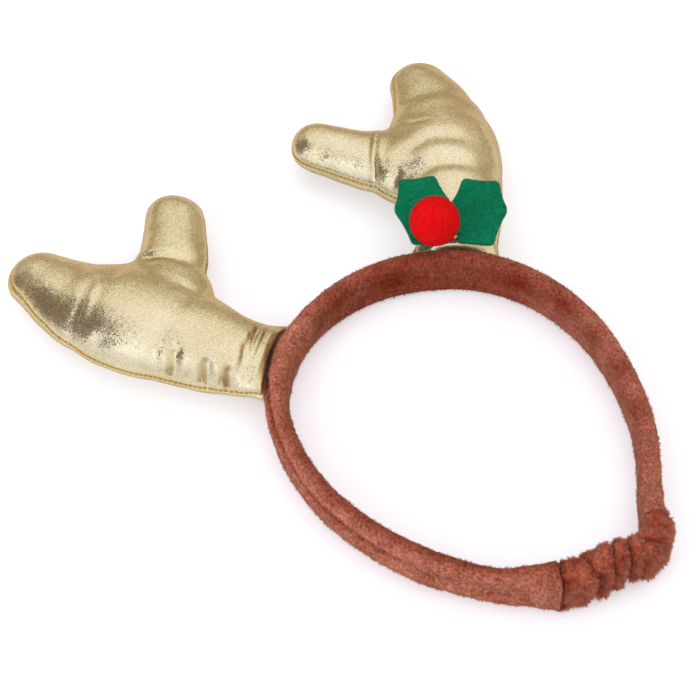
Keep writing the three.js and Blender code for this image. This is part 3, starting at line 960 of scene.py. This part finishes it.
def swirl(points, dice, wavelength, waves=7):
    """A smooth random direction at each point, from a few plane waves."""
    field = np.zeros((len(points), 3))
    for _ in range(waves):
        heading = dice.normal(size=3)
        heading = heading / np.linalg.norm(heading) * dice.uniform(*WAVE_SPREAD) * 2 * math.pi / wavelength
        field += np.sin(points @ heading + dice.uniform(*WAVE_PHASES))[:, None] * dice.normal(size=3)
    return field / math.sqrt(waves)


def unit(rows):
    """Each row made one long."""
    return rows / np.maximum(np.linalg.norm(rows, axis=1), 1e-12)[:, None]


def scatter(skin, count, dice):
    """Random places on a skin, evenly spread: the corners of the triangle at each place, and their weights."""
    skin.data.calc_loop_triangles()
    corners = np.empty(len(skin.data.loop_triangles) * 3, int)
    skin.data.loop_triangles.foreach_get("vertices", corners)
    corners = corners.reshape(-1, 3)
    points = read_points(skin)
    a, b, c = (points[corners[:, k]] for k in range(3))
    area = np.linalg.norm(np.cross(b - a, c - a), axis=1)
    picked = dice.choice(len(area), size=count, p=area / area.sum())
    u, v = np.sort(dice.random((2, count)), axis=0)
    return corners[picked], np.stack([u, v - u, 1 - v], axis=1)


def on_fibres(skin, name, corners, weights):
    """A value stored on the skin, read where each fibre is rooted."""
    values = np.empty(len(skin.data.vertices), np.float32)
    skin.data.attributes[name].data.foreach_get("value", values)
    return (values[corners] * weights).sum(axis=1)


# %% A coat of fibres
TUFT_SIZE = 4 * MM
# How far single fibres stray, and how steeply each stands at least
STRAY, LEAST_LIFT = 0.35, 0.35
LENGTHS = (0.6, 1.15)
# How much a fibre takes after the leader of its lock: in where its tip is, and in how pale it is
CLING, LOCK_SHINE = 0.45, 0.75
# How deep a fibre is rooted, and how pale its root is against its tip: the dark root is painted shade deep in the
# pile
ROOT_DEPTH, SHADED_ROOT_SHINE = 0.2 * MM, 0.2
TIP_CLEAR = 0.05 * MM
# How much the normals follow the lock, and how much they vary
NORMAL_LEAN = 0.3
THIRDS_OF_A_TURN = (0, 2.094, 4.189)


def pile(name, skin, material, slot, count, long, thick, flow, tuft, seed, lock=1, dull=0.1):
    """A coat of short fibres: each is a thin spike rooted in the skin, leaning with its neighbours. flow is how
    far the fibres lie round the loop and outwards, lock how many of them cling together, and dull how pale the
    dullest is."""
    dice = np.random.default_rng(seed)
    stored = skin.data.attributes
    corners, weights = scatter(skin, count, dice)
    roots = (read_points(skin)[corners] * weights[:, :, None]).sum(axis=1)
    ups = unit((read_normals(skin)[corners] * weights[:, :, None]).sum(axis=1))
    round_loop = unit(np.stack(
        [LOOP_CENTRE[1] - roots[:, 1], roots[:, 0] - LOOP_CENTRE[0], 0 * roots[:, 0]], axis=1
    ))
    outwards = np.cross(round_loop, [0, 0, 1])
    lean = ups + flow[0] * round_loop + flow[1] * outwards
    lean = unit(lean + tuft * swirl(roots, dice, TUFT_SIZE) + STRAY * dice.normal(size=(count, 3)))
    lift = (lean * ups).sum(axis=1)
    lean = unit(lean + ups * (LEAST_LIFT - lift).clip(0)[:, None])
    reach = long * dice.uniform(*LENGTHS, count)
    if "length" in stored:
        reach = reach * on_fibres(skin, "length", corners, weights)
    tips = roots + lean * reach[:, None]
    shine = dice.uniform(dull, 1, count)

    leaders = KDTree(count // lock)
    for i in range(count // lock):
        leaders.insert(roots[i], i)
    leaders.balance()
    leader = np.array([leaders.find(root)[1] for root in roots])
    tips = tips + CLING * (tips[leader] - tips)
    shine = (1 - LOCK_SHINE) * shine + LOCK_SHINE * shine[leader]
    tips[:, 2] = np.maximum(tips[:, 2], TIP_CLEAR)

    first = unit(np.cross(lean, dice.normal(size=(count, 3)))) * thick
    second = np.cross(lean, first)
    feet = roots - ROOT_DEPTH * ups
    ring = [feet + first * math.cos(t) + second * math.sin(t) for t in THIRDS_OF_A_TURN]
    spikes = np.stack([*ring, tips], axis=1).reshape(-1, 3)
    at = np.arange(count)[:, None] * 4
    faces = np.stack([at + [0, 1, 3], at + [1, 2, 3], at + [2, 0, 3], at + [2, 1, 0]], axis=1).reshape(-1, 3)
    mesh = bpy.data.meshes.new(name)
    mesh.from_pydata(spikes.tolist(), [], faces.tolist())
    mesh.polygons.foreach_set("use_smooth", np.ones(len(faces), bool))
    bent = unit(ups + NORMAL_LEAN * lean[leader] + NORMAL_LEAN * dice.normal(size=(count, 3)))
    mesh.normals_split_custom_set_from_vertices(np.repeat(bent, 4, axis=0).tolist())
    coat = bpy.data.objects.new(name, mesh)
    scene.collection.objects.link(coat)
    write_attribute(coat, "tip", np.stack([*[SHADED_ROOT_SHINE * shine] * 3, shine], axis=1).ravel())
    if "pressed" in stored:
        write_attribute(coat, "pressed", np.repeat(on_fibres(skin, "pressed", corners, weights), 4))
    coat.data.materials.append(material)
    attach(coat, "root")
    print(name, count, "fibres")


# %% Pile of the band and the sleeve
pile(
    "band_pile", band, plush_fibre, "brown_plush",
    count=48000, long=1.05 * MM, thick=0.14 * MM, flow=(0.7, 0), tuft=0.7, seed=21, lock=5, dull=0,
)
pile(
    "sleeve_pile", sleeve, long_fibre, "brown_plush",
    count=28000, long=2.4 * MM, thick=0.15 * MM, flow=(0.2, 0.6), tuft=0.9, seed=22, lock=8, dull=0.2,
)

# %% [markdown]
# ## Holly
# Two leaves cut from green felt lie on the root of the right antler, and a red ball of needle felt sits where they
# meet. Felt is matted wool: a fine mottled tone and a low bump on a matte surface, with loose fibres standing off
# it, so each piece gets a thin coat of its own fuzz.

# %% Felt
def felt(name, dark, light):
    """Matted wool between two tones."""
    made, tree, shader, place = soft_material(name, 0.95)
    fibres = noise(tree, place, 600, 5)
    bump = node(tree, "ShaderNodeBump", {"Strength": 0.5, "Distance": 0.3 * MM, "Height": fibres})
    plug(tree, shader, {
        "Base Color": tones(tree, fibres, [(0.3, dark), (0.7, light)]),
        "Specular IOR Level": 0.1,
        "Normal": bump.outputs["Normal"],
    })
    return made


green_felt = felt("green_felt", (0.001, 0.11, 0.046), (0.003, 0.17, 0.074))
red_felt = felt("red_felt", (0.53, 0.002, 0.003), (0.70, 0.005, 0.006))
green_fibre = felt("green_fibre", (0.002, 0.14, 0.060), (0.006, 0.22, 0.10))
red_fibre = felt("red_fibre", (0.62, 0.004, 0.005), (0.80, 0.009, 0.010))
print("felt", [made.name for made in (green_felt, red_felt, green_fibre, red_fibre)])

# %% [markdown]
# ### Leaves
# A leaf is stiff felt about two millimetres thick with a cut edge, so a fine remesh of the solid keeps its corners
# and is enough. Felt lies on the antler without folds, so there is no cloth run.

# %% Leaves
LEAF_VOXEL = 0.45 * MM
LEAF_FUZZ = {"count": 6000, "long": 0.55 * MM, "thick": 0.05 * MM, "flow": (0, 0), "tuft": 0.5, "seed": 31}
# The leaves hang a little towards the band, in millimetres
LEAF_SHIFT = (-0.75, -1.05, -0.2)
for which in ("outer", "inner"):
    leaf = soft_copy(f"holly_leaf_{which}", f"felt_leaf_{which}", LEAF_VOXEL)
    write_points(leaf, read_points(leaf) + np.array(LEAF_SHIFT) * MM)
    leaf.data.materials.append(green_felt)
    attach(leaf, "root")
    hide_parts(f"holly_leaf_{which}")
    pile(f"leaf_fuzz_{which}", leaf, green_fibre, "green_felt", **LEAF_FUZZ)

# %% [markdown]
# ### Berry
# The berry is a ball, so an icosphere at the solid's place and size gives it with even faces. Needle felt holds
# its own shape: it isn't a bag and needs no air.

# %% Berry
BERRY_FUZZ = {"count": 9000, "long": 0.75 * MM, "thick": 0.05 * MM, "flow": (0, 0), "tuft": 0.7, "seed": 33}
berry_low, berry_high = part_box("berry")
bpy.ops.object.select_all(action="DESELECT")
bpy.ops.mesh.primitive_ico_sphere_add(
    subdivisions=5, radius=(berry_high.x - berry_low.x) / 2, location=(berry_low + berry_high) / 2
)
berry = bpy.context.object
berry.name = "felt_berry"
bpy.ops.object.transform_apply(location=True, rotation=True, scale=True)
bpy.ops.object.shade_smooth()
berry.data.materials.append(red_felt)
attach(berry, "root")
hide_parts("berry")
pile("berry_fuzz", berry, red_fibre, "red_felt", **BERRY_FUZZ)
